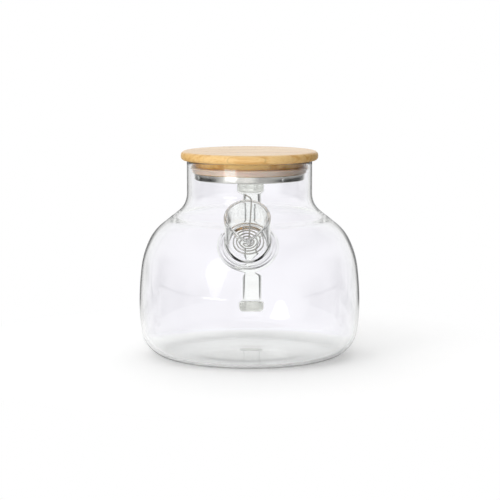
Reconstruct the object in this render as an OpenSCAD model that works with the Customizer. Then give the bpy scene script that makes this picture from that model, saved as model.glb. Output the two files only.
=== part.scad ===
// Round glass jug with a short pouring spout, a wire strainer in the spout,
// a solid glass handle and a bamboo lid with a silicone seal and a steel cup.
// Millimetres. The origin is the centre of the base, +Z is up and the spout points to -Y.

/* [Glass body] */
// Greatest outer radius of the blown body
body_r = 72.5; // [71:0.5:74]
// Outer radius of the neck
neck_r = 41.05; // [40.5:0.05:42]
// Height of the neck rim above the base
rim_z = 129; // [126:0.5:134]
// Thickness of the blown wall
glass_t = 2.1; // [1.9:0.1:2.4]
// Thickness of the floor at its middle
floor_t = 3; // [2.5:0.1:4]
// Radius of the rounded heel between the base and the side
heel_r = 19.2; // [18:0.2:20]
// Radius of the rounded crown under the neck
crown_r = 30; // [29:0.5:31]
// Radius of the hollow curve from the shoulder into the neck
flare_r = 14.9; // [14:0.1:16]

/* [Spout] */
// Height at which the spout axis leaves the body
spout_z = 81.6; // [80:0.2:83]
// Distance of that point from the jug axis
spout_y = 62.6; // [62:0.1:63.2]
// Tilt of the spout axis above the horizontal, in degrees
spout_tilt = 45; // [42:1:48]
// Length of the spout along its axis
spout_l = 26; // [24:0.5:30]
// Outer radius of the spout at its root
spout_root_r = 13.6; // [13:0.1:13.9]
// Outer radius of the spout at its mouth
spout_mouth_r = 14.6; // [14:0.1:15]
// Reach of the pouring lip from the spout axis
lip_reach = 20.2; // [18.5:0.2:21]
// Radius of the weld pad around the root
weld_pad_r = 17.4; // [17:0.2:19]

/* [Handle] */
// Width of the flattened glass bar, across the jug
bar_w = 13.7; // [12:0.1:15]
// Thickness of the bar
bar_t = 6; // [5:0.1:7]
// Distance of the upright grip from the jug axis
grip_y = 106; // [102:1:110]
// Radius of the two bends, at the middle of the bar
bend_r = 19; // [16:1:24]
// Height of the upper arm
upper_arm_z = 107.8; // [106:0.1:109]
// Height of the lower arm
lower_arm_z = 21.3; // [20:0.1:26]
// Width and thickness of the upper arm where it is fused to the neck
upper_weld = [18.2, 8.6];
// Width and thickness of the lower arm where it is fused to the body
lower_weld = [16, 7.2];

/* [Lid] */
// Radius of the bamboo disc
lid_r = 45; // [43:0.5:47]
// Thickness of the bamboo disc
lid_t = 5.9; // [5:0.1:7]
// Space between the plug and the inside of the neck
plug_gap = 2.95; // [2.7:0.05:3.2]
// Depth of the lid below the disc
plug_depth = 12.7; // [12:0.1:14]
// Height of the steel cup on the end of the plug
cup_h = 4.4; // [4:0.1:4.6]
// Depth of the top of the seal below the disc
seal_drop = 4.1; // [3.6:0.1:4.2]
// Height of the seal
seal_h = 3.9; // [3.5:0.1:4]

/* [Strainer] */
// Radius of the stainless wire
wire_r = 0.45; // [0.35:0.05:0.5]
// Distance of the coil from the root, along the spout
coil_t = 2.5; // [2:0.1:4]
// Distance between neighbouring turns of the coil
coil_pitch = 1.95; // [1.6:0.05:2.2]

/* [Hidden] */
$fn = 96;

// Outline of the body: tangent arcs from the base up, each with its radius and its turn in degrees
heel_turn = 81.3;
side_r = 121.5;
side_turn = 90 - heel_turn;
upper_r = 205;
upper_turn = 6.6;
shoulder_r = 56.3;
shoulder_turn = 20.3;
crown_turn = 24.85;
slope_heading = 90 + upper_turn + shoulder_turn + crown_turn;
foot_r = body_r - heel_r*sin(heel_turn) - side_r*(1 - sin(heel_turn));

// Lid heights and radii
seat_gap = 0.1;
lid_z = rim_z + seat_gap;
plug_r = neck_r - glass_t - plug_gap;
plug_collar = [0.5, 1.7];
cup_t = 0.5;
cup_r = plug_r + 0.15;
cup_z = lid_z - plug_depth;
seal_gap = 0.15;
seal_r = neck_r - glass_t - seal_gap;
seal_z = lid_z - seal_drop - seal_h;
groove_depth = 1.6;
top_round = 2.7;
under_round = 2.2;

// Pins that fix the cup: two pairs, seen from the front
pin_angles = [-62.9, 37.1, 117.1, 217.1];
pin_r = 0.6;
pin_head_r = 1.1;
pin_head_h = 0.35;
pin_l = 4;
pin_z = cup_z + 2.2;

// Spout and strainer
spout_wall = 1.95;
mouth_flare_l = 22;
lip_start = 15;
lip_tip_r = 1.6;
weld_t = 1.5;
bar_squareness = 3;
bar_sides = 48;
spout_inside = 20;
bore_r = spout_root_r - spout_wall;
coil_edge_gap = 0.3;
coil_inner = 0.7;
coil_outer = bore_r - coil_edge_gap - wire_r;
coil_turns = (coil_outer - coil_inner)/coil_pitch;
coil_steps = 24;
wire_sides = 8;
// Stem of the strainer from the coil to its hook, as [right, up across the spout, along the spout]
stem_path = [[coil_inner, 0, coil_t], [1, 1.6, 6], [1.8, 7.3, 17], [2.4, 11.5, 25.4],
             [2.3, 12.1, 28], [1.4, 12.9, 29.4], [-0.5, 13.9, 30], [-1.3, 15.1, 29],
             [-1.6, 15.5, 26.6], [-1.8, 15.4, 22.8]];

glass = [0.86, 0.91, 0.93, 0.45];

// Points of an arc that leaves p with heading h and turns by a at radius r; negative turns bend right
function arc_points(p, h, r, a, n) =
    [for (i = [1:n]) let (t = h + a*i/n) p + r*[sin(t) - sin(h), cos(h) - cos(t)]];

function last(v) = v[len(v) - 1];

// Outline of the body from the edge of the base to the rim, moved inwards by w
function wall_line(w) =
    let (heel = arc_points([foot_r, w], 0, heel_r - w, heel_turn, 12),
         side = arc_points(last(heel), heel_turn, side_r - w, side_turn, 3),
         upper = arc_points(last(side), 90, upper_r - w, upper_turn, 3),
         shoulder = arc_points(last(upper), 90 + upper_turn, shoulder_r - w, shoulder_turn, 6),
         crown = arc_points(last(shoulder), 90 + upper_turn + shoulder_turn, crown_r - w,
                            crown_turn, 6),
         flare_in = (flare_r + w)*(1 - sin(slope_heading)),
         slope_l = (last(crown)[0] - flare_in - neck_r + w)/-cos(slope_heading),
         slope = last(crown) + slope_l*[cos(slope_heading), sin(slope_heading)],
         flare = arc_points(slope, slope_heading, -flare_r - w, 90 - slope_heading, 10))
    concat([[foot_r, w]], heel, side, upper, shoulder, crown, [slope], flare);

// The body as if it were solid, swelled by w
module body_core(w = 0) {
    rotate_extrude($fn = 192)
        polygon(concat([[0, -w]], wall_line(-w), [[neck_r + w, rim_z], [0, rim_z]]));
}

// Frame of the spout: Z runs out along its axis and Y points up across it
module at_spout() {
    translate([0, -spout_y, spout_z]) rotate([90 - spout_tilt, 0, 0]) children();
}

module glass_body() {
    inner = wall_line(glass_t);
    rim = [for (i = [0:8]) [neck_r - glass_t/2, rim_z - glass_t/2]
                           + glass_t/2*[cos(i*22.5), sin(i*22.5)]];
    color(glass) difference() {
        rotate_extrude()
            polygon(concat([[0, 0]], wall_line(0), rim,
                           [for (i = [len(inner) - 1:-1:0]) inner[i]], [[0, floor_t]]));
        at_spout() translate([0, 0, -spout_inside]) cylinder(r = bore_r, h = 2*spout_inside);
    }
}

// Section of the mouth: a circle of radius r drawn out to a lip at distance reach
module mouth_section(r, reach) {
    hull() {
        circle(r = r, $fn = 48);
        translate([0, -reach + lip_tip_r]) circle(r = lip_tip_r, $fn = 16);
    }
}

// Spout shape of root radius r0 and mouth radius r1, with its lip; sealed solid
module spout_solid(r0, r1, reach, l) {
    rotate_extrude()
        polygon([[0, -spout_inside], [r0, -spout_inside], [r0, spout_l - mouth_flare_l],
                 [r1, l], [0, l]]);
    hull() {
        translate([0, 0, lip_start]) cylinder(r = r0, h = 0.1, $fn = 48);
        translate([0, 0, l - 0.1]) linear_extrude(0.1) mouth_section(r1, reach);
    }
}

module spout_tube() {
    color(glass) difference() {
        at_spout() difference() {
            spout_solid(spout_root_r, spout_mouth_r, lip_reach, spout_l);
            spout_solid(bore_r, spout_mouth_r - spout_wall, lip_reach - 1.5*spout_wall,
                        spout_l + 0.2);
        }
        body_core();
    }
}

module spout_weld() {
    color(glass) difference() {
        intersection() {
            at_spout() cylinder(r = weld_pad_r, h = 2*spout_inside, center = true);
            body_core(weld_t);
        }
        body_core();
        at_spout() cylinder(r = spout_root_r, h = 4*spout_inside, center = true);
    }
}

function flattened(c) = sign(c)*pow(abs(c), 2/bar_squareness);

// Section of the handle bar: an oval with flattened faces, w across and t thick
function bar_ring(w = bar_w, t = bar_t) =
    [for (i = [0:bar_sides - 1]) let (a = 360*i/bar_sides)
        [w/2*flattened(cos(a)), t/2*flattened(sin(a))]];

// One quarter bend of the handle, from pointing back to pointing up
module bar_bend() {
    rotate([90, 0, 90]) rotate_extrude(angle = 90) translate([bend_r, 0]) rotate(90) polygon(bar_ring());
}

// Arm of the handle from start to its bend
module handle_arm(z, start = 30) {
    translate([0, start, z]) rotate([-90, 0, 0])
        linear_extrude(grip_y - bend_r - start) polygon(bar_ring());
}

module handle_bar() {
    color(glass) difference() {
        union() {
            handle_arm(upper_arm_z);
            handle_arm(lower_arm_z);
            translate([0, grip_y - bend_r, upper_arm_z - bend_r]) bar_bend();
            translate([0, grip_y - bend_r, lower_arm_z + bend_r]) mirror([0, 0, 1]) bar_bend();
            translate([0, grip_y, lower_arm_z + bend_r])
                linear_extrude(upper_arm_z - lower_arm_z - 2*bend_r) polygon(bar_ring());
        }
        body_core();
    }
}

// Length of bar that narrows from one section to the plain one
module bar_taper(size, l) {
    n = bar_sides;
    points = concat([for (p = bar_ring(size[0], size[1])) [p[0], p[1], 0]],
                    [for (p = bar_ring()) [p[0], p[1], l]]);
    sides = [for (i = [0:n - 1], half = [0, 1]) let (j = (i + 1)%n)
        half == 0 ? [i, n + i, n + j] : [i, n + j, j]];
    polyhedron(points, concat(sides, [[for (i = [0:n - 1]) i]], [[for (i = [n - 1:-1:0]) n + i]]));
}

// Flared glass where an arm of the handle is fused to the body
module arm_weld(z, size, start, l) {
    color(glass) difference() {
        translate([0, start, z]) rotate([-90, 0, 0]) bar_taper(size, l);
        handle_arm(z);
        body_core();
    }
}

module handle_upper_weld() {
    arm_weld(upper_arm_z, upper_weld, neck_r - 1, 9);
}

module handle_lower_weld() {
    arm_weld(lower_arm_z, lower_weld, body_r - 1.5, 6);
}

function unit(v) = v/norm(v);

// Wire that follows a path: one ring of its section at each point, square to the path there
module wire_along(path) {
    n = wire_sides;
    ends_at = len(path) - 1;
    points = [for (i = [0:ends_at])
        let (along = unit(path[min(i + 1, ends_at)] - path[max(i - 1, 0)]),
             side = unit(cross(along, [0.3, 0.2, 1])),
             other = cross(along, side))
        for (j = [0:n - 1]) path[i] + wire_r*(cos(360*j/n)*side + sin(360*j/n)*other)];
    sides = [for (i = [0:ends_at - 1], j = [0:n - 1])
        [i*n + j, (i + 1)*n + j, (i + 1)*n + (j + 1)%n, i*n + (j + 1)%n]];
    ends = [[for (j = [0:n - 1]) j], [for (j = [n - 1:-1:0]) ends_at*n + j]];
    color([0.72, 0.71, 0.68]) at_spout() polyhedron(points, concat(sides, ends));
}

module strainer_coil() {
    rings = ceil(coil_turns*coil_steps);
    wire_along([for (i = [0:rings])
        let (a = 360*coil_turns*i/rings, r = coil_inner + coil_pitch*a/360)
        [r*cos(a), r*sin(a), coil_t]]);
}

module strainer_stem() {
    wire_along(stem_path);
}

module lid_disc() {
    top = [for (i = [0:6]) [lid_r - top_round, lid_z + lid_t - top_round]
                           + top_round*[cos(i*15), sin(i*15)]];
    under = [for (i = [0:6]) [lid_r - under_round, lid_z + under_round]
                             + under_round*[sin(i*15), -cos(i*15)]];
    color([0.86, 0.7, 0.45])
        rotate_extrude() polygon(concat([[0, lid_z]], under, top, [[0, lid_z + lid_t]]));
}

module pin_shanks() {
    for (a = pin_angles)
        rotate([0, 0, a]) translate([0, -cup_r, pin_z]) rotate([-90, 0, 0])
            cylinder(r = pin_r, h = pin_l, $fn = 24);
}

module lid_plug() {
    neck_of_groove = plug_r - groove_depth;
    core_r = cup_r - cup_t;
    color([0.76, 0.55, 0.3]) difference() {
        rotate_extrude()
            polygon([[0, cup_z + cup_t], [core_r, cup_z + cup_t], [core_r, cup_z + cup_h],
                     [plug_r, cup_z + cup_h], [plug_r, seal_z], [neck_of_groove, seal_z],
                     [neck_of_groove, seal_z + seal_h], [plug_r, seal_z + seal_h],
                     [plug_r, lid_z - plug_collar[1]],
                     [plug_r + plug_collar[0], lid_z - plug_collar[1]],
                     [plug_r + plug_collar[0], lid_z], [0, lid_z]]);
        pin_shanks();
    }
}

module seal_ring() {
    foot = plug_r - groove_depth;
    rib = plug_r + 0.7;
    lower_r = seal_r - 0.6;
    color([0.93, 0.87, 0.84, 0.85]) translate([0, 0, seal_z]) rotate_extrude()
        polygon([[foot, 0], [rib - 0.4, 0], [rib, 0.5], [lower_r, 1.2], [lower_r, 1.6], [rib, 1.5],
                 [rib, seal_h - 1.6], [seal_r, seal_h - 0.9], [seal_r, seal_h - 0.4],
                 [rib, seal_h], [foot, seal_h]]);
}

module steel_cup() {
    corner = [for (i = [0:4]) [cup_r - 1, cup_z + 1] + [sin(i*22.5), -cos(i*22.5)]];
    color([0.72, 0.72, 0.71]) difference() {
        rotate_extrude()
            polygon(concat([[0, cup_z]], corner, [[cup_r, cup_z + cup_h],
                           [cup_r - cup_t, cup_z + cup_h], [cup_r - cup_t, cup_z + cup_t],
                           [0, cup_z + cup_t]]));
        pin_shanks();
    }
}

module cup_pins() {
    color([0.8, 0.8, 0.8]) {
        pin_shanks();
        for (a = pin_angles)
            rotate([0, 0, a]) translate([0, -cup_r - pin_head_h, pin_z]) rotate([-90, 0, 0])
                cylinder(r1 = 0.6*pin_head_r, r2 = pin_head_r, h = pin_head_h, $fn = 24);
    }
}

glass_body();
spout_tube();
spout_weld();
handle_bar();
handle_upper_weld();
handle_lower_weld();
strainer_coil();
strainer_stem();
lid_disc();
lid_plug();
seal_ring();
steel_cup();
cup_pins();
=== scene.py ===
"""Looks of a glass dispenser jug: blown body, spout, bar handle, wire strainer and bamboo lid."""

import math

import bmesh
import bpy
import numpy as np
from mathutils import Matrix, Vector


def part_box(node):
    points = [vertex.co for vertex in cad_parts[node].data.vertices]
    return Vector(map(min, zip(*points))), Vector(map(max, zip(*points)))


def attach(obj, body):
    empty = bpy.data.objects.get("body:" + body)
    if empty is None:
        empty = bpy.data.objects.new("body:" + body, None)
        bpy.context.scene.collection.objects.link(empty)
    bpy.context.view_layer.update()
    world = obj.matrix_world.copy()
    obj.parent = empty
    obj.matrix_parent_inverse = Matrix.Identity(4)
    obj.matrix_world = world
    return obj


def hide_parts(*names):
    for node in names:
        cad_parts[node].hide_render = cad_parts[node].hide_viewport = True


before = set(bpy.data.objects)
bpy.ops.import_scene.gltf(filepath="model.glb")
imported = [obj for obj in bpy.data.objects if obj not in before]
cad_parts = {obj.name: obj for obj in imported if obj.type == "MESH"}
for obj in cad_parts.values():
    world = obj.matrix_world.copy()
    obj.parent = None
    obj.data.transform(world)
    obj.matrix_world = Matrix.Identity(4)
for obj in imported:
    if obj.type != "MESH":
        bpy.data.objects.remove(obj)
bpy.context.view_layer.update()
mm = 0.001

# ============================================================
# Studio. A pale floor that runs into a white surround, and one tall soft light at the
# front left. The surround is bright in front and behind and dark at both sides, so that
# rims of glass and steel get their dark lines.
# ============================================================


def new_object(name, data):
    """An object at the origin, put into the scene."""
    thing = bpy.data.objects.new(name, data)
    bpy.context.collection.objects.link(thing)
    return thing


look_at = Vector((0, 0, 70 * mm))
camera_distance = 1360 * mm
camera_turn = math.radians(1.0)
camera_rise = math.radians(7.02)
camera_back = Vector((math.sin(camera_turn) * math.cos(camera_rise),
                      -math.cos(camera_turn) * math.cos(camera_rise), math.sin(camera_rise)))
camera = new_object("camera", bpy.data.cameras.new("camera"))
camera.data.sensor_width, camera.data.lens = 36, 148.7
camera.data.shift_x, camera.data.shift_y = 0.001, -0.0014
camera.data.clip_end = 50
camera.location = look_at + camera_distance * camera_back
camera.rotation_euler = (-camera_back).to_track_quat("-Z", "Y").to_euler()
scene = bpy.context.scene
scene.camera = camera
scene.view_settings.view_transform = "Standard"
# Light runs a long way inside thick glass before it comes out
scene.cycles.max_bounces = 32
scene.cycles.glossy_bounces = 24
scene.cycles.transmission_bounces = 32


class Nodes:
    """A node tree with short calls for adding and joining nodes."""

    def __init__(self, tree):
        self.tree = tree
        tree.nodes.clear()

    def add(self, kind, settings=None, **inputs):
        node = self.tree.nodes.new(kind)
        for name, value in (settings or {}).items():
            setattr(node, name, value)
        for name, value in inputs.items():
            key = int(name[1:]) if name[0] == "i" and name[1:].isdigit() else name.replace("_", " ")
            self.join(value, node.inputs[key])
        return node

    def join(self, value, socket):
        if isinstance(value, bpy.types.NodeSocket):
            self.tree.links.new(value, socket)
        elif isinstance(value, bpy.types.Node):
            self.tree.links.new(value.outputs[0], socket)
        else:
            socket.default_value = value

    def math(self, operation, a, b=0.0, c=0.0):
        return self.add("ShaderNodeMath", {"operation": operation}, i0=a, i1=b, i2=c).outputs[0]

    def vector(self, operation, a, b=(0, 0, 0)):
        return self.add("ShaderNodeVectorMath", {"operation": operation}, i0=a, i1=b).outputs

    def noise(self, place, scale, detail):
        return self.add("ShaderNodeTexNoise", Vector=place, Scale=scale, Detail=detail).outputs[0]

    def ramp(self, value, low, high, to_low=0.0, to_high=1.0):
        node = self.add("ShaderNodeMapRange", {"interpolation_type": "SMOOTHSTEP"},
                        i0=value, i1=low, i2=high, i3=to_low, i4=to_high)
        return node.outputs[0]

    def mix(self, factor, a, b):
        node = self.add("ShaderNodeMix", {"data_type": "RGBA"})
        self.join(factor, node.inputs[0])
        self.join(a, node.inputs[6])
        self.join(b, node.inputs[7])
        return node.outputs[2]


def grey(value):
    return (value, value, value, 1.0)


# Turn round the jug is in degrees: 0 is in front, positive to the right
window_turn = -35
card_turn, gap_turn, strip_turn = 14, 16, 22.5
jug_side = 68 * mm


def studio_levels():
    """Brightness of the surround in each direction, for each way in which light reaches it."""
    group = bpy.data.node_groups.new("studio_levels", "ShaderNodeTree")
    group.interface.new_socket(name="Direction", in_out="INPUT", socket_type="NodeSocketVector")
    for name in ("Metal", "Light", "Rim", "Thick", "Window", "Clear", "Sky"):
        group.interface.new_socket(name=name, in_out="OUTPUT", socket_type="NodeSocketFloat")
    n = Nodes(group)
    source = n.add("NodeGroupInput").outputs[0]

    def past_side(value):
        past = n.math("MAXIMUM", n.math("SUBTRACT", n.math("ABSOLUTE", value), jug_side), 0.0)
        return n.math("MULTIPLY", n.math("SIGN", value), past)

    def total(*levels):
        result = levels[0]
        for level in levels[1:]:
            result = n.math("ADD", result, level)
        return result

    away = n.vector("LENGTH", source)["Value"]
    up = n.add("ShaderNodeSeparateXYZ", i0=n.vector("NORMALIZE", source)[0]).outputs[2]
    bearing = n.vector("NORMALIZE", n.vector("MULTIPLY", source, (1, 1, 0))[0])[0]
    # Light that grazes the jug leaves it at its side, so its direction is taken from there
    x, y, _ = n.add("ShaderNodeSeparateXYZ", i0=source).outputs
    to_back = n.vector("NORMALIZE", n.add("ShaderNodeCombineXYZ", X=past_side(x), Y=y))[0]
    to_side = n.vector("NORMALIZE", n.add("ShaderNodeCombineXYZ", X=x, Y=past_side(y)))[0]

    def lobe(turn, edge, core, height, heading=bearing):
        """A bright patch round one direction; edge and core are its half widths in degrees."""
        t = math.radians(turn)
        dot = n.vector("DOT_PRODUCT", heading, (math.sin(t), -math.cos(t), 0))["Value"]
        return n.ramp(dot, math.cos(math.radians(edge)), math.cos(math.radians(core)), 0, height)

    def lobes(middles, spread, *shape):
        """The same patch on both sides of each of these directions."""
        return total(*[lobe(middle + side * spread, *shape) for middle in middles for side in (-1, 1)])

    metal = total(lobe(-29, 52, 16, 1.2), lobe(24, 42, 12, 0.6), lobe(74, 7, 2, 0.2),
                  lobe(180, 45, 16, 1.05), 0.02)
    light = n.math("SUBTRACT", total(metal, lobe(-24, 85, 20, 0.35)), lobe(24, 42, 12, 0.4))
    # Black cards stand just outside the white sweep, behind and at each side
    cards = total(lobes([180], card_turn, 11, 4, 0.62, to_back),
                  lobes([90, -90], card_turn, 12, 4, 0.25, to_side))
    near_or_high = n.math("MULTIPLY", n.ramp(up, 0.0, 0.16, 1, 0.1), n.ramp(away, 0.2, 0.3, 0.15, 1))
    cards = n.math("MULTIPLY", cards, near_or_high)
    # The floor some way off is dark at both sides, which the straight neck reflects
    band = n.math("MULTIPLY", n.ramp(away, 1.0, 1.3), n.ramp(away, 1.75, 2.0, 1, 0))
    dark_sides = n.math("MULTIPLY", band, lobes([0], 80, 28, 18, 0.55))
    rim = n.math("SUBTRACT", n.math("SUBTRACT", total(0.8, lobe(180, 5, 2, 0.2)), cards), dark_sides)
    # Narrow cards and a darker ceiling draw the edges of solid glass and of the welds
    square = (0, 90, 180, 270)
    gaps = lobes(square, gap_turn, 7.5, 4.5, 0.68)
    thick = n.math("SUBTRACT", total(0.72, *[lobe(turn, 9, 6, 0.3) for turn in square]), gaps)
    thick = n.math("MULTIPLY", thick, n.ramp(up, 0.1, 0.35, 1, 0.35))
    low = n.math("MULTIPLY", n.ramp(away, 0.3, 0.6), n.ramp(up, 0.05, 0.15, 1, 0))
    strips = n.math("MULTIPLY", lobes([180], strip_turn, 5, 2, 0.5), low)
    clear = n.math("SUBTRACT", n.ramp(up, 0.1, 0.35, 1, 0.2), strips)
    # Overhead it is darker on the right, away from the window
    sky = n.math("SUBTRACT", total(0.95, lobe(-40, 80, 30, 0.05)),
                 n.math("MULTIPLY", lobe(78, 80, 40, 0.8), n.ramp(up, 0.6, 0.95, 1, 0)))
    # The window has hard edges low down and hazy ones above
    hazy = n.math("MULTIPLY", lobe(window_turn, 21, 0, 1.0), n.ramp(up, -0.02, 0.2, 0.25, 1))
    window = n.mix(n.ramp(away, 5, 50), lobe(window_turn, 14.5, 7, 1.0), hazy)
    n.add("NodeGroupOutput", i0=metal, i1=light, i2=rim, i3=thick, i4=window, i5=clear, i6=sky)
    return group


white = grey(1.0)
cool_white = (0.985, 0.965, 1.02, 1.0)


def studio_colour(n, path, direction, seen, window, least_inside):
    """Colour of the surround for each kind of ray; the camera itself meets the plain seen colour."""
    levels = n.add("ShaderNodeGroup", {"node_tree": studio}, i0=direction).outputs
    lit = n.math("GREATER_THAN", path.outputs["Diffuse Depth"], 0.5)
    mirrored = n.math("GREATER_THAN", path.outputs["Glossy Depth"], 0.5)
    walls = path.outputs["Transmission Depth"]
    clear = n.mix(levels["Clear"], grey(0.0), cool_white)
    through = n.mix(see_through(n, path), levels["Thick"], clear)
    on_rim = n.math("MULTIPLY", n.math("LESS_THAN", walls, 3.0), path.outputs["Is Singular Ray"])
    shine = n.math("MULTIPLY", levels["Window"], window)
    # What glass mirrors from inside the jug is never as dark as what the outside of steel does
    deep = n.math("MULTIPLY", n.math("GREATER_THAN", walls, 2.5), least_inside)
    metal = n.math("MAXIMUM", levels["Metal"], deep)
    reflected = n.mix(on_rim, metal, n.math("ADD", levels["Rim"], shine))
    colour = n.mix(mirrored, through, reflected)
    # Walls of glass turn away light that a lamp would send through them; this makes up for it
    inside = n.math("GREATER_THAN", walls, 0.5)
    light = n.math("MULTIPLY", levels["Light"], n.math("MULTIPLY_ADD", inside, 0.45, 1.0))
    colour = n.mix(lit, colour, light)
    return n.mix(path.outputs["Is Camera Ray"], colour, seen)


def see_through(n, path):
    """A ray that only went in and out of two thin walls meets the white sweep behind the jug."""
    unmirrored = n.math("LESS_THAN", path.outputs["Glossy Depth"], 0.5)
    undimmed = n.math("LESS_THAN", path.outputs["Diffuse Depth"], 0.5)
    clear = n.math("COMPARE", path.outputs["Transmission Depth"], 4.0, 0.5)
    return n.math("MULTIPLY", clear, n.math("MULTIPLY", unmirrored, undimmed))


def make_world():
    world = bpy.data.worlds.new("studio")
    scene.world = world
    world.use_nodes = True
    n = Nodes(world.node_tree)
    direction = n.add("ShaderNodeTexCoord").outputs["Generated"]
    up = n.add("ShaderNodeSeparateXYZ", i0=direction).outputs[2]
    path = n.add("ShaderNodeLightPath")
    # The world counts as a point a kilometre off, past every band on the floor
    far_away = n.add("ShaderNodeVectorMath", {"operation": "SCALE"}, i0=direction, Scale=1000.0)
    surround = studio_colour(n, path, far_away, white, window=0.36, least_inside=0.65)
    seen = n.math("MAXIMUM", path.outputs["Is Camera Ray"], see_through(n, path))
    unseen = n.math("SUBTRACT", 1.0, seen)
    overhead = n.math("MULTIPLY", n.ramp(up, 0.25, 0.75), unseen)
    sky = n.add("ShaderNodeGroup", {"node_tree": studio}, i0=far_away).outputs["Sky"]
    colour = n.mix(overhead, surround, sky)
    background = n.add("ShaderNodeBackground", Color=colour, Strength=1.0)
    n.add("ShaderNodeOutputWorld", Surface=background)


studio = studio_levels()
make_world()

floor_drop, floor_reach = 0.15 * mm, 6.0
paper_fill = 0.3


def new_material(name):
    """An empty material, with its nodes and the place on the piece that patterns follow."""
    material = bpy.data.materials.new(name)
    material.use_nodes = True
    n = Nodes(material.node_tree)
    return material, n, n.add("ShaderNodeTexCoord").outputs["Object"]


def make_floor():
    mesh = bpy.data.meshes.new("floor")
    r = floor_reach
    mesh.from_pydata([(-r, -r, -floor_drop), (r, -r, -floor_drop), (r, r, -floor_drop),
                      (-r, r, -floor_drop)], [], [(0, 1, 2, 3)])
    floor = new_object("floor", mesh)
    material, n, place = new_material("pale_floor")
    away = n.vector("LENGTH", place)["Value"]
    path = n.add("ShaderNodeLightPath")
    # Paper gives way to the surround at its own distance for the eye, for light and through the jug
    far = n.mix(path.outputs["Is Diffuse Ray"], n.ramp(away, 0.12, 0.22), n.ramp(away, 0.22, 0.5))
    far = n.mix(see_through(n, path), far, n.ramp(away, 0.078, 0.1))
    paper = n.add("ShaderNodeBsdfPrincipled", Base_Color=grey(0.9), Roughness=0.85,
                  Specular_IOR_Level=0.0)
    fill = n.math("MAXIMUM", path.outputs["Is Camera Ray"], path.outputs["Is Transmission Ray"])
    self_lit = n.add("ShaderNodeEmission", Color=white, Strength=n.math("MULTIPLY", fill, paper_fill))
    near_floor = n.add("ShaderNodeAddShader", i0=paper, i1=self_lit)
    # A painted pool of light: some way off at the front left, under the window, the floor's own glow is
    # brightest, and only rays mirrored by the glass meet it
    window = n.math("MULTIPLY", n.ramp(away, 1.32, 1.37), n.ramp(away, 1.68, 1.76, 1, 0))
    window = n.math("MULTIPLY_ADD", window, 4.0, 0.12)
    surround = studio_colour(n, path, place, white, window, least_inside=0.0)
    glow = n.add("ShaderNodeEmission", Color=surround, Strength=1.0)
    mixed = n.add("ShaderNodeMixShader", i0=far, i1=near_floor, i2=glow)
    n.add("ShaderNodeOutputMaterial", Surface=mixed)
    mesh.materials.append(material)


make_floor()

# One upright oval soft box at the front left, turned square to the jug's axis
box_distance, box_width, box_height, box_middle_z = 1.5, 0.64, 1.05, 0.53
box_radiance = 2.1
lamp = bpy.data.lights.new("key_box", "AREA")
lamp.shape = "ELLIPSE"
lamp.size, lamp.size_y = box_width, box_height
lamp.energy = box_radiance * math.pi * (math.pi / 4 * box_width * box_height)
key_box = new_object("key_box", lamp)
a = math.radians(window_turn)
key_box.location = (box_distance * math.sin(a), -box_distance * math.cos(a), box_middle_z)
aim = Vector((0, 0, box_middle_z)) - key_box.location
key_box.rotation_euler = aim.to_track_quat("-Z", "Y").to_euler()
key_box.visible_camera = False
key_box.visible_glossy = False

# ============================================================
# Glass jug. Borosilicate glass about two millimetres thick, blown to a round body with
# a straight neck. The spout tube, with its lip pulled out hot, and the pressed bar of the
# handle are fused on, so all the glass is one closed skin.
# ============================================================
body_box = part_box("glass_body")
handle_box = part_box("handle_bar")
body_r = body_box[1].x
rim_z = body_box[1].z
neck_r = 41.05 * mm
glass_t = 2.1 * mm
floor_t = 3.0 * mm
foot_rise, standing_edge = 0.7 * mm, 0.93
heel_r, heel_turn = 19.2 * mm, 81.3
side_r, side_turn = 121.5 * mm, 90 - heel_turn
upper_r, upper_turn = 205 * mm, 6.6
shoulder_r, shoulder_turn = 56.3 * mm, 20.3
crown_r, crown_turn = 30 * mm, 24.85
flare_r = 14.9 * mm
foot_r = body_r - heel_r * math.sin(math.radians(heel_turn)) \
    - side_r * (1 - math.sin(math.radians(heel_turn)))
columns = 180
row_counts = {"heel": 18, "side": 14, "upper": 12, "shoulder": 14, "crown": 12, "slope": 8,
              "flare": 14, "neck": 10}
row_at = dict(zip(row_counts, np.cumsum(list(row_counts.values()))))


def arc_points(start, heading, radius, turn, count):
    """Points of an arc that leaves start with that heading; a negative radius bends to the right."""
    h = math.radians(heading)
    t = h + math.radians(turn) * np.arange(1, count + 1) / count
    return np.array(start) + radius * np.stack([np.sin(t) - math.sin(h), math.cos(h) - np.cos(t)], 1)


def straight_points(start, end, count):
    f = (np.arange(1, count + 1) / count)[:, None]
    return np.array(start) * (1 - f) + np.array(end) * f


# The blown wall is thicker in a ridge inside, where the shoulder turns up into the neck
ridge_h, ridge_half, ridge_r = 0.75 * mm, 3.4 * mm, 48.0 * mm


def ridged(line):
    """Move the points of the inner wall inwards around the ridge."""
    run = np.concatenate([[0], np.cumsum(np.hypot(*np.diff(line, axis=0).T))])
    above = line[:, 1] > rim_z / 2
    middle = run[above][np.argmin(np.abs(line[above, 0] - ridge_r))]
    along = np.gradient(line, axis=0)
    along /= np.hypot(*along.T)[:, None]
    lift = ridge_h * np.exp(-((run - middle) / ridge_half) ** 2)
    return line + lift[:, None] * np.stack([-along[:, 1], along[:, 0]], 1)


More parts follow.
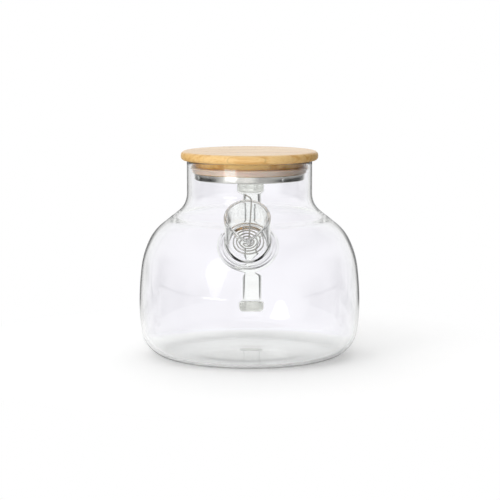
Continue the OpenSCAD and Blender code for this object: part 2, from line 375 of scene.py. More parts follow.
def wall_line(inset, counts=row_counts):
    """Outline of the body from the edge of the base to just under the rim, moved inwards."""
    line = [np.array([[foot_r, inset]])]
    heading = 0
    for name, radius, turn in (("heel", heel_r, heel_turn), ("side", side_r, side_turn),
                               ("upper", upper_r, upper_turn),
                               ("shoulder", shoulder_r, shoulder_turn),
                               ("crown", crown_r, crown_turn)):
        line.append(arc_points(line[-1][-1], heading, radius - inset, turn, counts[name]))
        heading += turn
    h = math.radians(heading)
    crown_end = line[-1][-1]
    drop = crown_end[0] - (flare_r + inset) * (1 - math.sin(h)) - (neck_r - inset)
    slope_end = crown_end + drop / -math.cos(h) * np.array([math.cos(h), math.sin(h)])
    line.append(straight_points(crown_end, slope_end, counts["slope"]))
    line.append(arc_points(slope_end, heading, -flare_r - inset, 90 - heading, counts["flare"]))
    line.append(straight_points(line[-1][-1], (neck_r - inset, rim_z - glass_t / 2), counts["neck"]))
    line = np.concatenate(line)
    return ridged(line) if inset else line


def radius_at(inset):
    """The body's radius as a function of height, from a much finer outline."""
    fine = wall_line(inset, {name: 60 * count for name, count in row_counts.items()})
    return lambda z: np.interp(z, fine[:, 1], fine[:, 0])


outer_radius = radius_at(0.0)
inner_radius = radius_at(glass_t)


class Skin:
    """Vertices and faces of a closed skin as they are added."""

    def __init__(self):
        self.points = []
        self.faces = []

    def add(self, points):
        first = len(self.points)
        self.points.extend(map(tuple, points))
        return np.arange(first, first + len(points))

    def band(self, a, b):
        """Quads between two closed loops of the same length."""
        for i in range(len(a)):
            j = (i + 1) % len(a)
            self.faces.append((a[i], a[j], b[j], b[i]))

    def bands(self, loops):
        for a, b in zip(loops, loops[1:]):
            self.band(a, b)

    def cap(self, loop, pole):
        for i in range(len(loop)):
            self.faces.append((loop[i], loop[(i + 1) % len(loop)], pole))

    def build(self, name):
        mesh = bpy.data.meshes.new(name)
        mesh.from_pydata(self.points, [], [tuple(map(int, f)) for f in self.faces])
        bm = bmesh.new()
        bm.from_mesh(mesh)
        bmesh.ops.delete(bm, geom=[v for v in bm.verts if not v.link_faces], context="VERTS")
        bmesh.ops.recalc_face_normals(bm, faces=bm.faces)
        bm.to_mesh(mesh)
        bm.free()
        mesh.shade_smooth()
        return new_object(name, mesh)


def window_loop(row_a, row_b, col_a, col_b):
    """Grid places round a rectangle, from its first corner along the columns first."""
    def span(a, b):
        return list(range(a, b, 1 if b > a else -1))
    return ([(row_a, c) for c in span(col_a, col_b)] + [(r, col_b) for r in span(row_a, row_b)]
            + [(row_b, c) for c in span(col_b, col_a)] + [(r, col_a) for r in span(row_b, row_a)])


def smooth_line(controls, count):
    """Points along a Catmull-Rom curve through the controls."""
    p = np.array(controls, float)
    p = np.concatenate([[2 * p[0] - p[1]], p, [2 * p[-1] - p[-2]]])
    out = []
    for s in np.linspace(0, len(p) - 3 - 1e-9, count):
        i, t = int(s), s - int(s)
        a, b, c, d = p[i:i + 4]
        out.append(0.5 * (2 * b + (c - a) * t + (2 * a - 5 * b + 4 * c - d) * t * t
                          + (3 * b - a - 3 * c + d) * t ** 3))
    return np.array(out)


skin = Skin()
outer = wall_line(0.0)
inner = wall_line(glass_t)
base_steps = 9


def base_line(edge_r, height_at):
    r = edge_r * np.arange(1, base_steps) / base_steps
    return np.stack([r, height_at(r / edge_r)], 1)


under = base_line(foot_r, lambda q: foot_rise * np.clip(1 - (q / standing_edge) ** 2, 0, 1) ** 2)
bowl = base_line(foot_r, lambda q: glass_t + (floor_t - glass_t + foot_rise) * (1 - q * q) ** 2)
rim_turn = np.radians(np.arange(1, 8) * 180 / 8)
rim = np.stack([neck_r - glass_t / 2 + glass_t / 2 * np.cos(rim_turn),
                rim_z - glass_t / 2 + glass_t / 2 * np.sin(rim_turn)], 1)
line = np.concatenate([under, outer, rim, inner[::-1], bowl[::-1]])
first_outer = len(under)
last_inner = len(under) + len(outer) + len(rim) + len(inner) - 1
around = 2 * math.pi * np.arange(columns) / columns
grid = skin.add(np.stack([np.outer(line[:, 0], np.cos(around)), np.outer(line[:, 0], np.sin(around)),
                          np.repeat(line[:, 1:], columns, 1)], 2).reshape(-1, 3))
grid = grid.reshape(len(line), columns)
pole_under, pole_bowl = skin.add([(0, 0, foot_rise), (0, 0, floor_t + foot_rise)])


def grid_loop(window, wall):
    """Vertex numbers of a window's edge in the outer or the inner wall."""
    rows = {"outer": lambda r: first_outer + r, "inner": lambda r: last_inner - r}[wall]
    return np.array([grid[rows(r), c % columns] for r, c in window])


# Windows in the wall where the spout and the two arms of the handle join, in rows and columns
front_col, back_col = 3 * columns // 4, columns // 4
spout_half, arm_half = 13, 8
spout_window = (row_at["upper"], row_at["flare"] - 10, front_col - spout_half, front_col + spout_half)
upper_window = (row_at["slope"] - 1, row_at["flare"] + 6, back_col - arm_half, back_col + arm_half)
lower_window = (row_at["side"] + 1, row_at["heel"] - 6, back_col - arm_half, back_col + arm_half)


def in_window(row, col, window):
    r0, r1, c0, c1 = window
    return min(r0, r1) <= row < max(r0, r1) and c0 <= col < c1


for row in range(len(line) - 1):
    for col in range(columns):
        wall_row = row - first_outer
        if any(in_window(wall_row, col, w) for w in (spout_window, upper_window, lower_window)):
            continue
        if in_window(last_inner - row - 1, col, spout_window):
            continue
        nxt = (col + 1) % columns
        skin.faces.append((grid[row, col], grid[row, nxt], grid[row + 1, nxt], grid[row + 1, col]))
skin.cap(grid[0], pole_under)
skin.cap(grid[-1], pole_bowl)

# Spout: its axis leaves the body at this point, tilted up
spout_root = np.array([0, -62.6, 81.6]) * mm
spout_tilt = math.radians(45)
spout_l = 26 * mm
spout_across = np.array([0, math.sin(spout_tilt), math.cos(spout_tilt)])
spout_along = np.array([0, -math.cos(spout_tilt), math.sin(spout_tilt)])
spout_wall = 1.95 * mm
root_edge, mouth_r, flare_start = (14.2 * mm, 13.4 * mm), 14.6 * mm, 4 * mm
lip_reach, lip_start = 20.2 * mm, 11 * mm
lip_round, bore_corner = 0.08, 2.4 * mm
sideways = np.array([1.0, 0, 0])


def from_spout(points):
    """Points given to the right, across the spout and along it, as points of the whole object."""
    right, across, along = np.moveaxis(points, -1, 0)[..., None]
    return spout_root + right * sideways + across * spout_across + along * spout_along


def spout_point(rho, theta, t):
    rho, theta, t = np.broadcast_arrays(rho, theta, t)
    return from_spout(np.stack([rho * np.cos(theta), rho * np.sin(theta), t], -1))


def depth_on_wall(rho, theta, radius_of):
    """How far along the spout axis a line beside it meets the wall."""
    low = np.full(np.broadcast(rho, theta).shape, -50 * mm)
    high = np.full_like(low, 14 * mm)
    for _ in range(40):
        middle = (low + high) / 2
        p = spout_point(rho, theta, middle)
        outside = np.hypot(p[..., 0], p[..., 1]) > radius_of(p[..., 2])
        high = np.where(outside, middle, high)
        low = np.where(outside, low, middle)
    return (low + high) / 2


def polar(edge):
    """Distance from the spout's axis and turn round it of each vertex on an edge."""
    from_root = np.array([skin.points[i] for i in edge]) - spout_root
    x, u = from_root @ sideways, from_root @ spout_across
    return np.hypot(x, u), np.unwrap(np.arctan2(u, x))


def ellipse_radius(theta, radii):
    return 1 / np.hypot(np.cos(theta) / radii[0], np.sin(theta) / radii[1])


def root_radius(theta):
    """The root is a little narrower underneath, where the hot tube was drawn into the wall."""
    return np.where(np.sin(theta) < 0, ellipse_radius(theta, root_edge), root_edge[0])


def tube_radius(theta, t):
    """Outer radius of the spout: it widens to the mouth and its lower side runs out to a lip."""
    f = np.clip((t - flare_start) / (spout_l - flare_start), 0, 1)
    root_r = root_radius(theta)
    plain = root_r + (mouth_r - root_r) * f
    from_lip = np.abs((theta + math.pi / 2 + math.pi) % (2 * math.pi) - math.pi)
    from_lip = np.sqrt(from_lip ** 2 + lip_round ** 2) - 0.5 * lip_round
    open_angle = math.acos(mouth_r / lip_reach)
    beak = mouth_r / np.cos(np.clip(open_angle - from_lip, 0, None))
    g = np.clip((t - lip_start) / (spout_l - lip_start), 0, 1)
    return plain + (beak - mouth_r) * g ** 2.2


# Weld round the root: a low ring between two ellipses, then a swollen collar that sweeps up
# to the tube. Each section is the share of the way inwards and the height in millimetres.
ring_edge, ring_inside = (18.4 * mm, 16.4 * mm), (16.8 * mm, 15.4 * mm)
ring_section = [(0.0, 0.0), (0.12, 0.6), (0.3, 1.15), (0.55, 1.25), (0.8, 0.95), (1.0, 0.85)]
sweep_section = [(0.0, 0.85), (0.07, 1.3), (0.17, 1.9), (0.36, 2.6), (0.6, 3.2), (0.84, 4.2),
                 (0.95, 5.2), (1.0, 7.0)]
# Outside the ring the hot wall sank a little, most of all underneath: how far out it is
# deepest, its reach, its depth and the share of it that is left above the spout
sink_middle, sink_reach, sink_depth, sink_above = 1.3 * mm, 4.2 * mm, 0.42 * mm, 0.2


def sunk(distance):
    inside = np.clip(distance / sink_middle, 0, 1)
    beyond = np.clip((distance - sink_middle) / (sink_reach - sink_middle), 0, 1)
    return sink_depth * inside ** 2 * (3 - 2 * inside) * (1 - beyond) ** 2.4


def spout_loops():
    window = window_loop(*spout_window)
    edge_out, edge_in = grid_loop(window, "outer"), grid_loop(window, "inner")
    (rho_out, theta_out), (rho_in, theta_in) = polar(edge_out), polar(edge_in)
    loops = [edge_out]

    def ring(rho, theta, t):
        loops.append(skin.add(spout_point(rho, theta, t)))

    # Across the wall to the weld and over the sunk part of it
    weld_r, hollow_r = (ellipse_radius(theta_out, r) for r in (ring_edge, ring_inside))
    out_to_reach = [rho_out * (1 - f) + (weld_r + sink_reach) * f for f in np.linspace(0, 1, 6)[1:]]
    over_sink = [weld_r + sink_reach * (1 - f) for f in np.linspace(0, 1, 20)[1:]]
    for rho in out_to_reach + over_sink:
        below = sink_above + (1 - sink_above) * np.clip(0.8 - 1.2 * np.sin(theta_out), 0, 1)
        t = depth_on_wall(rho, theta_out, outer_radius) - below * sunk(rho - weld_r)
        ring(rho, theta_out, t)
    # Over the ring of the weld and up its sweep to the tube
    root_r = root_radius(theta_out)
    for section, steps, from_r, to_r in ((ring_section, 16, weld_r, hollow_r),
                                         (sweep_section, 18, hollow_r, root_r)):
        for share, height in smooth_line(section, steps)[1:]:
            rho = from_r * (1 - share) + to_r * share
            ring(rho, theta_out, depth_on_wall(rho, theta_out, outer_radius) + height * mm)
    # Along the tube and round the edge of its mouth
    start = depth_on_wall(root_r, theta_out, outer_radius) + sweep_section[-1][1] * mm
    half = spout_wall / 2
    for f in np.linspace(0, 1, 22)[1:]:
        t = start * (1 - f) + (spout_l - half) * f
        ring(tube_radius(theta_out, t), theta_out, t)
    middle = tube_radius(theta_out, spout_l) - half
    for a in np.radians(np.arange(1, 9) * 180 / 9):
        ring(middle + half * math.cos(a), theta_out, spout_l - half + half * math.sin(a))
    # Back down the bore, round its inner corner and out to the inner wall of the body
    bore = root_radius(theta_in) - spout_wall
    end = depth_on_wall(bore + bore_corner, theta_in, inner_radius)
    for f in np.linspace(0, 1, 26):
        theta = theta_out * (1 - f) + theta_in * f
        t = (spout_l - half) * (1 - f) + (end + bore_corner) * f
        ring(tube_radius(theta, t) - spout_wall, theta, t)
    for a in np.radians(np.arange(1, 8) * 90 / 7):
        ring(bore + bore_corner * (1 - math.cos(a)), theta_in, end + bore_corner * (1 - math.sin(a)))
    for f in np.linspace(0, 1, 14)[1:-1]:
        rho = (bore + bore_corner) * (1 - f) + rho_in * f
        ring(rho, theta_in, depth_on_wall(rho, theta_in, inner_radius))
    loops.append(edge_in)
    return loops


skin.bands(spout_loops())

# Handle: a bar pressed to an oval with flattened faces, bent to two level arms and a grip
bar_w = 2 * handle_box[1].x
bar_t = 6.0 * mm
bar_squareness = 3.4
grip_y = handle_box[1].y - bar_t / 2
bend_r = 19 * mm
upper_arm_z = handle_box[1].z - bar_t / 2
lower_arm_z = handle_box[0].z + bar_t / 2
upper_weld_w, upper_weld_t, upper_weld_l = 18.2 * mm, 8.6 * mm, 8 * mm
lower_weld_w, lower_weld_t, lower_weld_l = 16.0 * mm, 6.6 * mm, 14 * mm
lower_weld_squareness = 6.5
# How a fused end narrows to the bar: share of the extra size, and share of its length
weld_taper = np.array([(1.0, 0.0), (0.94, 0.07), (0.7, 0.22), (0.42, 0.42), (0.18, 0.64),
                       (0.04, 0.86), (0.0, 1.0)])


def bar_ring(width, thick, start, sense, count, p=bar_squareness):
    """Points spaced evenly round the section of the bar, from a polar angle on, as (across, up)."""
    a = start + sense * 2 * math.pi * np.arange(2001) / 2000
    r = (np.abs(np.cos(a) / (width / 2)) ** p + np.abs(np.sin(a) / (thick / 2)) ** p) ** (-1 / p)
    ring = np.stack([r * np.cos(a), r * np.sin(a)], 1)
    run = np.concatenate([[0], np.cumsum(np.hypot(*np.diff(ring, axis=0).T))])
    at = run[-1] * np.arange(count) / count
    return np.stack([np.interp(at, run, ring[:, 0]), np.interp(at, run, ring[:, 1])], 1)


def arm_loops(window, z, facing, width, thick, length, squareness):
    """Loops from a window in the wall to the plain bar; facing is -1 for a section upside down."""
    edge = grid_loop(window_loop(*window), "outer")
    at = np.array([skin.points[i] for i in edge])
    flat_edge = np.stack([at[:, 0], facing * (at[:, 2] - z)], 1)
    theta = np.unwrap(np.arctan2(flat_edge[:, 1], flat_edge[:, 0]))
    start, sense = theta[0], np.sign(theta[-1] - theta[0])

    def on_wall(ring, lift):
        height = z + facing * ring[:, 1]
        y = np.sqrt(outer_radius(height) ** 2 - ring[:, 0] ** 2) + lift
        return np.stack([ring[:, 0], y, height], 1)

    foot = bar_ring(width, thick, start, sense, len(edge), squareness)
    loops = [edge]
    for f in np.linspace(0, 1, 8)[1:]:
        loops.append(skin.add(on_wall(flat_edge * (1 - f) + foot * f, 0)))
    # The wall's own curve under the arm fades out along the weld
    steps = 16
    for k, (extra, share) in enumerate(smooth_line(weld_taper, steps)[1:]):
        ring = bar_ring(bar_w + (width - bar_w) * extra, bar_t + (thick - bar_t) * extra, start, sense,
                        len(edge), bar_squareness + (squareness - bar_squareness) * extra)
        p = on_wall(ring, share * length)
        fade = ((k + 1) / (steps - 1)) ** 2
        p[:, 1] = p[:, 1] * (1 - fade) + (outer_radius(z) + share * length) * fade
        loops.append(skin.add(p))
    return loops, start, sense, outer_radius(z) + length


def handle_loops():
    upper, start_up, sense, y_up = arm_loops(upper_window, upper_arm_z, 1, upper_weld_w, upper_weld_t,
                                             upper_weld_l, bar_squareness)
    lower, start_low, _, y_low = arm_loops(lower_window, lower_arm_z, -1, lower_weld_w, lower_weld_t,
                                           lower_weld_l, lower_weld_squareness)
    bend_y = grip_y - bend_r
    grip_top, grip_end = upper_arm_z - bend_r, lower_arm_z + bend_r

    def bend(middle_z, start):
        turns = np.linspace(start, start + 90, 17)[1:]
        return [(bend_y + bend_r * math.sin(a), middle_z + bend_r * math.cos(a), turn)
                for a, turn in zip(np.radians(turns), turns)]

    stations = [(y, upper_arm_z, 0) for y in np.linspace(y_up, bend_y, 9)[1:]] + bend(grip_top, 0)
    stations += [(grip_y, z, 90) for z in np.linspace(grip_top, grip_end, 12)[1:]] + bend(grip_end, 90)
    stations += [(y, lower_arm_z, 180) for y in np.linspace(bend_y, y_low, 5)[1:-1]]
    loops = list(upper)
    for k, (y, z, turn) in enumerate(stations):
        f = (k + 1) / (len(stations) + 1)
        ring = bar_ring(bar_w, bar_t, start_up * (1 - f) + start_low * f, sense, len(upper[0]))
        a = math.radians(turn)
        up_bar = np.array([0, math.sin(a), math.cos(a)])
        loops.append(skin.add(np.array([0, y, z]) + ring[:, :1] * sideways + ring[:, 1:] * up_bar))
    return loops + lower[::-1]


skin.bands(handle_loops())
glass_jug = skin.build("glass_jug")


def make_clear_glass():
    material, n, place = new_material("clear_glass")
    # Slow waves left by blowing, too faint to see except in the reflections
    waves = n.noise(place, 28.0, 1.0)
    bump = n.add("ShaderNodeBump", Strength=0.05, Distance=0.4 * mm, Height=waves)
    glass = n.add("ShaderNodeBsdfPrincipled", Base_Color=(0.985, 0.99, 0.99, 1), Roughness=0.0,
                  IOR=1.47, Transmission_Weight=1.0, Normal=bump)
    absorb = n.add("ShaderNodeVolumeAbsorption", Color=(0.58, 0.59, 0.53, 1), Density=4.5)
    n.add("ShaderNodeOutputMaterial", Surface=glass, Volume=absorb)
    return material


glass_jug.data.materials.append(make_clear_glass())
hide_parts("glass_body", "spout_tube", "spout_weld", "handle_bar", "handle_upper_weld",
            "handle_lower_weld")
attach(glass_jug, "jug")

# ============================================================
# Strainer. One stainless wire, wound to a flat spiral that stands in the root of the
# spout and led up through the mouth to a small hook to pull it out by.
# ============================================================
wire_r = 0.45 * mm
coil_t = 2.5 * mm
coil_pitch = 2.3 * mm
coil_start, coil_end = 0.7 * mm, 10.6 * mm
# The stem after the coil: right, across the spout and along it, in millimetres
stem = np.array([(0.7, 0, 2.5), (1, 1.6, 6), (1.8, 7.3, 17), (2.4, 11.5, 25.4), (2.3, 12.1, 28),
                 (1.4, 12.9, 29.4), (-0.5, 13.9, 30), (-1.3, 15.1, 29), (-1.6, 15.5, 26.6),
                 (-1.8, 15.4, 22.8)]) * mm


def wire_path():
    turns = (coil_end - coil_start) / coil_pitch
    a = 2 * math.pi * np.linspace(turns, 0, int(48 * turns))
    r = coil_start + coil_pitch * a / (2 * math.pi)
    coil = np.stack([r * np.cos(a), r * np.sin(a), np.full_like(a, coil_t)], 1)
    rise = smooth_line(stem, 60)[2:]
    return from_spout(np.concatenate([coil, rise]))


def new_tree(name, sizes):
    """An empty geometry tree with an input for each named size; returns its nodes and its input."""
    tree = bpy.data.node_groups.new(name, "GeometryNodeTree")
    tree.interface.new_socket(name="Geometry", in_out="OUTPUT", socket_type="NodeSocketGeometry")
    tree.interface.new_socket(name="Geometry", in_out="INPUT", socket_type="NodeSocketGeometry")
    for size in sizes:
        tree.interface.new_socket(name=size, in_out="INPUT", socket_type="NodeSocketFloat")
    n = Nodes(tree)
    return n, n.add("NodeGroupInput")


def grown(name, n, sizes, carrier):
    """Run a geometry tree on a carrier object and keep the result as a plain mesh."""
    modifier = carrier.modifiers.new("grow", "NODES")
    modifier.node_group = n.tree
    for item in n.tree.interface.items_tree:
        if item.in_out == "INPUT" and item.name in sizes:
            modifier[item.identifier] = float(sizes[item.name])
    evaluated = carrier.evaluated_get(bpy.context.evaluated_depsgraph_get())
    mesh = bpy.data.meshes.new_from_object(evaluated)
    mesh.name = name
    bpy.data.objects.remove(carrier)
    return new_object(name, mesh)


def plain_steel(name, marks, dark, pale, smooth, rough):
    """Stainless steel; fine marks, so many to a metre, change its tone and its gloss a little."""
    material, n, place = new_material(name)
    marks = n.noise(place, marks, 2.0)
    steel = n.add("ShaderNodeBsdfPrincipled", Base_Color=n.mix(marks, dark, pale), Metallic=1.0,
                  Roughness=n.ramp(marks, 0.3, 0.7, smooth, rough))
    n.add("ShaderNodeOutputMaterial", Surface=steel)
    return material


wire_steel = plain_steel("wire_steel", 2500.0, (0.34, 0.33, 0.31, 1), (0.48, 0.47, 0.44, 1), 0.16, 0.3)


def make_strainer():
    points = wire_path()
    curve = bpy.data.curves.new("wire_path", "CURVE")
    curve.dimensions = "3D"
    spline = curve.splines.new("POLY")
    spline.points.add(len(points) - 1)
    for point, place in zip(spline.points, points):
        point.co = (*place, 1)
    carrier = new_object("wire_path", curve)
    values = {"Wire radius": wire_r}
    n, sizes = new_tree("wire_along_path", values)
    section = n.add("GeometryNodeCurvePrimitiveCircle", {"mode": "RADIUS"}, Resolution=12,
                    Radius=sizes.outputs["Wire radius"])
    wire = n.add("GeometryNodeCurveToMesh", Curve=sizes.outputs["Geometry"], Profile_Curve=section,
                 Fill_Caps=True)
    smooth = n.add("GeometryNodeSetShadeSmooth", Geometry=wire)
    real = n.add("GeometryNodeRealizeInstances", Geometry=smooth)
    painted = n.add("GeometryNodeSetMaterial", Geometry=real, Material=wire_steel)
    n.add("NodeGroupOutput", i0=painted)
    return grown("strainer_wire", n, values, carrier)


strainer_wire = make_strainer()
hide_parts("strainer_coil", "strainer_stem")
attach(strainer_wire, "strainer")

# ============================================================
# Lid board. A disc of laminated bamboo, turned with a rounded edge and oiled; it rests
# on the rim of the neck.
# ============================================================
disc_low, disc_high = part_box("lid_disc")
lid_r = disc_high.x
top_round, under_round = 2.7 * mm, 2.2 * mm


def turned(name, outline, steps, closed=False):
    """A solid of revolution from (radius, height) points; a closed outline makes a ring."""
    solid = Skin()
    turn = 2 * math.pi * np.arange(steps) / steps
    loops = []
    for r, z in outline:
        if r < 1e-9:
            loops.append(solid.add([(0, 0, z)]))
        else:
            loops.append(solid.add(np.stack([r * np.cos(turn), r * np.sin(turn),
                                             np.full(steps, z)], 1)))
    pairs = list(zip(loops, loops[1:])) + ([(loops[-1], loops[0])] if closed else [])
    for a, b in pairs:
        if len(a) == 1:
            solid.cap(b, a[0])
        elif len(b) == 1:
            solid.cap(a, b[0])
        else:
            solid.band(a, b)
    return solid.build(name)


def round_corner(centre, radius, start, end, count):
    """Points of a rounded corner in a profile, from one angle to the other."""
    a = np.radians(np.linspace(start, end, count))
    return np.stack([centre[0] + radius * np.cos(a), centre[1] + radius * np.sin(a)], 1)


def rings_between(inner_r, outer_r, z, count):
    r = np.linspace(inner_r, outer_r, count)
    return np.stack([r, np.full(count, z)], 1)


disc_outline = np.concatenate([
    [(0, disc_low.z)], rings_between(8 * mm, lid_r - under_round, disc_low.z, 6)[:-1],
    round_corner((lid_r - under_round, disc_low.z + under_round), under_round, -90, 0, 10),
    round_corner((lid_r - top_round, disc_high.z - top_round), top_round, 0, 90, 12),
    rings_between(8 * mm, lid_r - top_round, disc_high.z, 6)[-2::-1], [(0, disc_high.z)]])
lid_board = turned("lid_board", disc_outline, 180)


def make_bamboo(name, strip, pale, warm, deep, rough, coat, face_z):
    """Pressed bamboo strips along X, each with its own tone and fibres and here and there a joint."""
    material, n, place = new_material(name)
    # The strips were never quite straight, so their lines bow where the turned edge cuts them
    bow = n.noise(place, 26.0, 1.5)
    bow = n.math("MULTIPLY", n.math("SUBTRACT", bow, 0.5), 5 * mm)
    x_y_z = n.add("ShaderNodeSeparateXYZ", i0=place).outputs
    x, y = x_y_z[0], n.math("ADD", x_y_z[1], bow)
    z = n.math("ADD", x_y_z[2], n.math("MULTIPLY", bow, 0.6))
    bent = n.add("ShaderNodeCombineXYZ", X=x, Y=y, Z=z)
    number = n.math("FLOOR", n.math("DIVIDE", y, strip))
    tone = n.add("ShaderNodeTexWhiteNoise", {"noise_dimensions": "1D"}, W=number).outputs[0]
    shifted = n.add("ShaderNodeCombineXYZ", X=n.math("MULTIPLY", tone, 0.3))
    in_strip = n.vector("ADD", bent, shifted)[0]

    def streaks(scale, detail):
        return n.noise(n.add("ShaderNodeMapping", Vector=in_strip, Scale=scale), 1.0, detail)

    bands = streaks((9, 300, 300), 3.0)
    fibres = streaks((26, 1500, 1500), 3.0)
    specks = streaks((120, 2400, 2400), 1.0)
    seam = n.math("ABSOLUTE", n.math("SUBTRACT", n.math("FRACT", n.math("DIVIDE", y, strip)), 0.5))
    seam = n.ramp(seam, 0.47, 0.5)
    # A joint of the cane is a dark line right across one strip
    along = n.math("FRACT", n.math("MULTIPLY_ADD", x, 4.2, n.math("MULTIPLY", tone, 7.0)))
    joint = n.ramp(n.math("ABSOLUTE", n.math("SUBTRACT", along, 0.5)), 0.0, 0.006, 1, 0)
    colour = n.mix(tone, warm, pale)
    colour = n.mix(n.math("MULTIPLY", n.ramp(bands, 0.46, 0.66), 0.75), colour, deep)
    colour = n.mix(n.math("MULTIPLY", n.ramp(fibres, 0.5, 0.72), 0.5), colour, deep)
    colour = n.mix(n.math("MULTIPLY", n.ramp(specks, 0.62, 0.72), 0.55), colour, deep)
    dark_lines = n.math("MAXIMUM", n.math("MULTIPLY", seam, 0.28), n.math("MULTIPLY", joint, 0.4))
    colour = n.mix(dark_lines, colour, [0.5 * c for c in deep[:3]] + [1])
    bump = n.add("ShaderNodeBump", Strength=0.3, Distance=0.1 * mm, Height=fibres)
    # Only the flat face is rubbed smooth; the turned edge stays matt
    edge = n.ramp(x_y_z[2], face_z - 1.4 * mm, face_z - 0.1 * mm, 1, 0)
    sheen = n.math("MULTIPLY_ADD", edge, 0.25, n.ramp(fibres, 0.3, 0.7, rough - 0.04, rough + 0.08))
    wood = n.add("ShaderNodeBsdfPrincipled", Base_Color=colour, Roughness=sheen, Normal=bump,
                 Coat_Roughness=0.22)
    if coat:
        n.join(n.math("MULTIPLY_ADD", edge, -0.75 * coat, coat), wood.inputs["Coat Weight"])
    n.add("ShaderNodeOutputMaterial", Surface=wood)
    return material


lid_board.data.materials.append(
    make_bamboo("bamboo_board", strip=8.6 * mm, pale=(0.92, 0.64, 0.29, 1), warm=(0.88, 0.56, 0.21, 1),
                deep=(0.70, 0.36, 0.09, 1), rough=0.3, coat=0.35, face_z=disc_high.z))
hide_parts("lid_disc")
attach(lid_board, "lid")

# ============================================================
# Plug. The turned bamboo neck of the lid, glued under the board: a collar, a groove for
# the seal and an end that the steel cup covers.
# ============================================================
plug_low, plug_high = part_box("lid_plug")
seal_low, seal_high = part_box("seal_ring")
cup_low, cup_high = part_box("steel_cup")
cup_r, cup_t, cup_proud = cup_high.x, 0.5 * mm, 0.15 * mm
plug_r = cup_r - cup_proud
collar_r, collar_h, collar_round = plug_high.x, 1.7 * mm, 0.25 * mm
collar_z = plug_high.z - collar_h
groove_depth, groove_play = 1.6 * mm, 0.1 * mm
groove_r = plug_r - groove_depth
plug_outline = np.concatenate([
    [(0, plug_low.z)], [(cup_r - cup_t, plug_low.z), (cup_r - cup_t, cup_high.z)],
    [(plug_r, cup_high.z + 0.02 * mm), (plug_r, seal_low.z - groove_play)],
    [(groove_r, seal_low.z - groove_play), (groove_r, seal_high.z + groove_play)],
    [(plug_r, seal_high.z + groove_play), (plug_r, collar_z - 0.2 * mm)],
    round_corner((collar_r - collar_round, collar_z + 0.1 * mm), collar_round, -90, 0, 4),
    [(collar_r, plug_high.z), (0, plug_high.z)]])
lid_neck = turned("lid_neck", plug_outline, 144)
lid_neck.data.materials.append(
    make_bamboo("bamboo_plug", strip=5.4 * mm, pale=(0.97, 0.69, 0.26, 1), warm=(0.96, 0.60, 0.13, 1),
                deep=(0.75, 0.36, 0.04, 1), rough=0.5, coat=0.0, face_z=plug_high.z))
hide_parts("lid_plug")
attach(lid_neck, "lid")

# ============================================================
# Seal. A ring of milky silicone, moulded with a soft upper lip that presses on the inside
# of the neck, stretched into the groove of the plug.
# ============================================================
seal_r = seal_high.x
seal_h = seal_high.z - seal_low.z
seal_outline = np.concatenate([
    [(groove_r, seal_high.z), (groove_r, seal_low.z)],
    round_corner((seal_r - 1.9 * mm, seal_low.z + 0.4 * mm), 0.4 * mm, -90, 0, 5),
    [(seal_r - 1.45 * mm, seal_low.z + 0.35 * seal_h), (seal_r - 1.1 * mm, seal_low.z + 0.55 * seal_h)],
    round_corner((seal_r - 0.45 * mm, seal_high.z - 0.75 * mm), 0.45 * mm, -60, 60, 8),
    [(seal_r - 1.2 * mm, seal_high.z - 0.1 * mm), (seal_r - 1.9 * mm, seal_high.z)]])
silicone_seal = turned("silicone_seal", seal_outline, 144, closed=True)


def make_silicone():
    material, n, place = new_material("milky_silicone")
    cloud = n.noise(place, 90.0, 2.0)
    colour = n.mix(cloud, (0.84, 0.655, 0.535, 1), (0.885, 0.73, 0.63, 1))
    rough = n.ramp(cloud, 0.3, 0.7, 0.34, 0.5)
    rubber = n.add("ShaderNodeBsdfPrincipled", Base_Color=colour, Roughness=rough,
                   Subsurface_Weight=0.6, Subsurface_Scale=1.5 * mm, Subsurface_Radius=(1.0, 0.8, 0.7))
    n.add("ShaderNodeOutputMaterial", Surface=rubber)
    return material


silicone_seal.data.materials.append(make_silicone())
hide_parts("seal_ring")
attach(silicone_seal, "lid")

# ============================================================
# Steel cup. Drawn stainless sheet half a millimetre thick, spun over the end of the plug
# and brushed while it turned, so that the lines run round it.
# ============================================================
cup_corner = 1.0 * mm
cup_lip = 0.5 * cup_t
cup_outline = np.concatenate([
    [(0, cup_low.z)], rings_between(9 * mm, cup_r - cup_corner, cup_low.z, 4)[:-1],
    round_corner((cup_r - cup_corner, cup_low.z + cup_corner), cup_corner, -90, 0, 9),
    round_corner((cup_r - cup_lip, cup_high.z - cup_lip), cup_lip, 0, 180, 7),
    round_corner((cup_r - cup_corner, cup_low.z + cup_corner), cup_corner - cup_t, 0, -90, 6),
    [(0, cup_low.z + cup_t)]])
steel_shell = turned("steel_shell", cup_outline, 180)


def make_brushed_steel():
    material, n, place = new_material("spun_steel")
    x, y, z = n.add("ShaderNodeSeparateXYZ", i0=place).outputs
    radius = n.vector("LENGTH", n.add("ShaderNodeCombineXYZ", X=x, Y=y))["Value"]
    rings = n.add("ShaderNodeCombineXYZ", X=n.math("MULTIPLY", radius, 6000.0),
                  Y=n.math("MULTIPLY", z, 6000.0))
    lines = n.noise(rings, 1.0, 3.0)
    colour = n.mix(lines, (0.54, 0.53, 0.51, 1), (0.65, 0.64, 0.61, 1))
    rough = n.ramp(lines, 0.3, 0.7, 0.15, 0.27)
    bump = n.add("ShaderNodeBump", Strength=0.12, Distance=0.03 * mm, Height=lines)
    steel = n.add("ShaderNodeBsdfPrincipled", Base_Color=colour, Metallic=1.0, Roughness=rough,
                  Normal=bump)
    n.add("ShaderNodeOutputMaterial", Surface=steel)
    return material


steel_shell.data.materials.append(make_brushed_steel())
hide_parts("steel_cup")
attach(steel_shell, "lid")

# ============================================================
# Pins. Four small domed pins in two pairs, driven through the wall of the cup into the
# wood and polished.
# ============================================================
pin_head_r, pin_head_h = 1.1 * mm, 0.35 * mm
pin_z = cup_low.z + 2.2 * mm
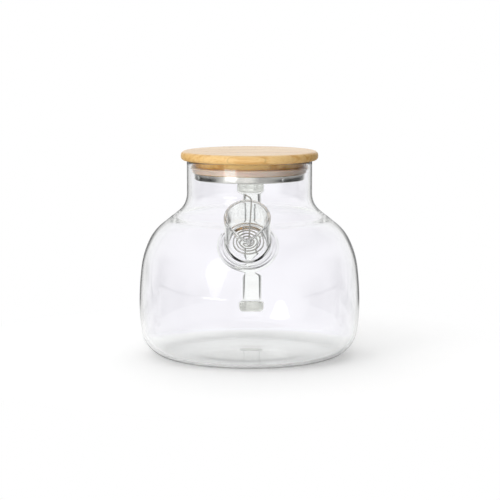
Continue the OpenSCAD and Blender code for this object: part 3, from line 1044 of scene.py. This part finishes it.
# Degrees round the cup of the first pin, and how far past a square every second one stands
first_pin, second_pin_shift = -62.9, 10.0
pin_steel = plain_steel("pin_steel", 3000.0, (0.74, 0.74, 0.73, 1), (0.84, 0.84, 0.83, 1), 0.1, 0.2)


def make_pins():
    values = {"Cup radius": cup_r, "Pin height": pin_z, "Head radius": pin_head_r,
              "Head height": pin_head_h, "First angle": first_pin, "Second pin shift": second_pin_shift}
    n, sizes = new_tree("pins_round_cup", values)
    spots = n.add("GeometryNodeMeshLine", {"mode": "OFFSET"}, Count=4)
    number = n.add("GeometryNodeInputIndex")
    shift = n.math("MULTIPLY", n.math("MODULO", number, 2.0), sizes.outputs["Second pin shift"])
    degrees = n.math("ADD", n.math("MULTIPLY", number, 90.0), shift)
    angle = n.math("RADIANS", n.math("ADD", degrees, sizes.outputs["First angle"]))
    reach = sizes.outputs["Cup radius"]
    place = n.add("ShaderNodeCombineXYZ", X=n.math("MULTIPLY", reach, n.math("SINE", angle)),
                  Y=n.math("MULTIPLY", n.math("MULTIPLY", reach, n.math("COSINE", angle)), -1.0),
                  Z=sizes.outputs["Pin height"])
    placed = n.add("GeometryNodeSetPosition", Geometry=spots, Position=place)
    ball = n.add("GeometryNodeMeshUVSphere", Segments=24, Rings=12, Radius=1.0)
    head_size = n.add("ShaderNodeCombineXYZ", X=sizes.outputs["Head radius"],
                      Y=sizes.outputs["Head height"], Z=sizes.outputs["Head radius"])
    head = n.add("GeometryNodeTransform", Geometry=ball.outputs["Mesh"], Scale=head_size)
    smooth = n.add("GeometryNodeSetShadeSmooth", Geometry=head)
    heads = n.add("GeometryNodeInstanceOnPoints", Points=placed, Instance=smooth,
                  Rotation=n.add("ShaderNodeCombineXYZ", Z=angle))
    real = n.add("GeometryNodeRealizeInstances", Geometry=heads)
    painted = n.add("GeometryNodeSetMaterial", Geometry=real, Material=pin_steel)
    n.add("NodeGroupOutput", i0=painted)
    carrier = new_object("pin_spots", bpy.data.meshes.new("pin_spots"))
    return grown("pin_heads", n, values, carrier)


pin_heads = make_pins()
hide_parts("cup_pins")
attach(pin_heads, "lid")
